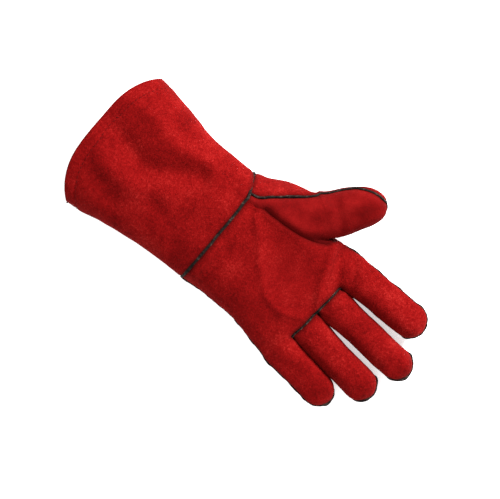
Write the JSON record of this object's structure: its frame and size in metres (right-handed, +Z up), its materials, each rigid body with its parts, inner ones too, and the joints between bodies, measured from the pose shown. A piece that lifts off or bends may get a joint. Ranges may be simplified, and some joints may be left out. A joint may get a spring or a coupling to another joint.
{
  "type": "welding glove",
  "caption": "Heat-resistant leather gauntlet for a welder's left hand: lined hand with welted seams and bending fingers, and a long flared cuff over the forearm.",
  "frame": {"origin": "on the plane the glove rests on, under the middle of the wrist seam", "axes": "+Y along the middle of the hand towards the fingertips, +Z up out of the palm, +X across the hand towards the little finger"},
  "size_m": [0.182, 0.3611, 0.071],
  "materials": {
    "split_leather": "suede",
    "smooth_leather": "smooth, worn",
    "welt_leather": "cut edge",
    "fleece_lining": "brushed",
    "canvas_lining": "woven",
    "hem_thread": "twisted"
  },
  "bodies": {
    "hand": {"palm_leather": "split_leather", "hand_back_leather": "split_leather", "hand_lining": "fleece_lining", "hand_side_welt": "welt_leather", "finger_base_welt": "welt_leather", "wrist_welt": "welt_leather"},
    "cuff": {"cuff_front_leather": "split_leather", "cuff_back_leather": "split_leather", "cuff_lining": "canvas_lining", "cuff_side_welt": "welt_leather", "hem_facing": "split_leather", "hem_stitching": "hem_thread"},
    "index_finger_base": {"index_finger_base_front": "split_leather", "index_finger_base_back": "split_leather", "index_finger_base_welt": "welt_leather", "index_finger_base_lining": "fleece_lining"},
    "index_fingertip": {"index_fingertip_front": "split_leather", "index_fingertip_back": "split_leather", "index_fingertip_welt": "welt_leather", "index_fingertip_lining": "fleece_lining"},
    "middle_finger_base": {"middle_finger_base_front": "split_leather", "middle_finger_base_back": "split_leather", "middle_finger_base_welt": "welt_leather", "middle_finger_base_lining": "fleece_lining"},
    "middle_fingertip": {"middle_fingertip_front": "split_leather", "middle_fingertip_back": "split_leather", "middle_fingertip_welt": "welt_leather", "middle_fingertip_lining": "fleece_lining"},
    "ring_finger_base": {"ring_finger_base_front": "split_leather", "ring_finger_base_back": "split_leather", "ring_finger_base_welt": "welt_leather", "ring_finger_base_lining": "fleece_lining"},
    "ring_fingertip": {"ring_fingertip_front": "split_leather", "ring_fingertip_back": "split_leather", "ring_fingertip_welt": "welt_leather", "ring_fingertip_lining": "fleece_lining"},
    "little_finger_base": {"little_finger_base_front": "split_leather", "little_finger_base_back": "split_leather", "little_finger_base_welt": "welt_leather", "little_finger_base_lining": "fleece_lining"},
    "little_fingertip": {"little_fingertip_front": "split_leather", "little_fingertip_back": "split_leather", "little_fingertip_welt": "welt_leather", "little_fingertip_lining": "fleece_lining"},
    "thumb_base": {"thumb_base_front": "smooth_leather", "thumb_base_back": "split_leather", "thumb_base_welt": "welt_leather", "thumb_base_lining": "fleece_lining"},
    "thumb_tip": {"thumb_tip_front": "smooth_leather", "thumb_tip_back": "split_leather", "thumb_tip_welt": "welt_leather", "thumb_tip_lining": "fleece_lining"}
  },
  "joints": [
    {"name": "wrist_bend", "type": "hinge", "parent": "hand", "child": "cuff", "pos_m": [0, 0.022, 0.025], "axis": [-1, 0, 0], "range_deg": [-30, 40]},
    {"name": "index_base_bend", "type": "hinge", "parent": "hand", "child": "index_finger_base", "pos_m": [-0.044, 0.132, 0.016], "axis": [1, 0, 0], "range_deg": [-10, 60]},
    {"name": "index_tip_bend", "type": "hinge", "parent": "index_finger_base", "child": "index_fingertip", "pos_m": [-0.044, 0.165, 0.016], "axis": [1, 0, 0], "range_deg": [0, 60]},
    {"name": "middle_base_bend", "type": "hinge", "parent": "hand", "child": "middle_finger_base", "pos_m": [-0.01146, 0.13199, 0.016], "axis": [0.9993, -0.0384, 0], "range_deg": [-10, 60]},
    {"name": "middle_tip_bend", "type": "hinge", "parent": "middle_finger_base", "child": "middle_fingertip", "pos_m": [-0.00989, 0.17296, 0.016], "axis": [0.9993, -0.0384, 0], "range_deg": [0, 60]},
    {"name": "ring_base_bend", "type": "hinge", "parent": "hand", "child": "ring_finger_base", "pos_m": [0.02038, 0.1309, 0.016], "axis": [0.9925, -0.1219, 0], "range_deg": [-10, 60]},
    {"name": "ring_tip_bend", "type": "hinge", "parent": "ring_finger_base", "child": "ring_fingertip", "pos_m": [0.02465, 0.16564, 0.016], "axis": [0.9925, -0.1219, 0], "range_deg": [0, 60]},
    {"name": "little_base_bend", "type": "hinge", "parent": "hand", "child": "little_finger_base", "pos_m": [0.05118, 0.1309, 0.016], "axis": [0.9925, -0.1219, 0], "range_deg": [-10, 60]},
    {"name": "little_tip_bend", "type": "hinge", "parent": "little_finger_base", "child": "little_fingertip", "pos_m": [0.05411, 0.15472, 0.016], "axis": [0.9925, -0.1219, 0], "range_deg": [0, 60]},
    {"name": "thumb_swing", "type": "hinge", "parent": "hand", "child": "thumb_base", "pos_m": [-0.058, 0.059, 0.028], "axis": [0, 1, 0], "range_deg": [-10, 45]},
    {"name": "thumb_tip_bend", "type": "hinge", "parent": "thumb_base", "child": "thumb_tip", "pos_m": [-0.08468, 0.08345, 0.03569], "axis": [0.5824, 0.7409, -0.3345], "range_deg": [0, 50]}
  ]
}
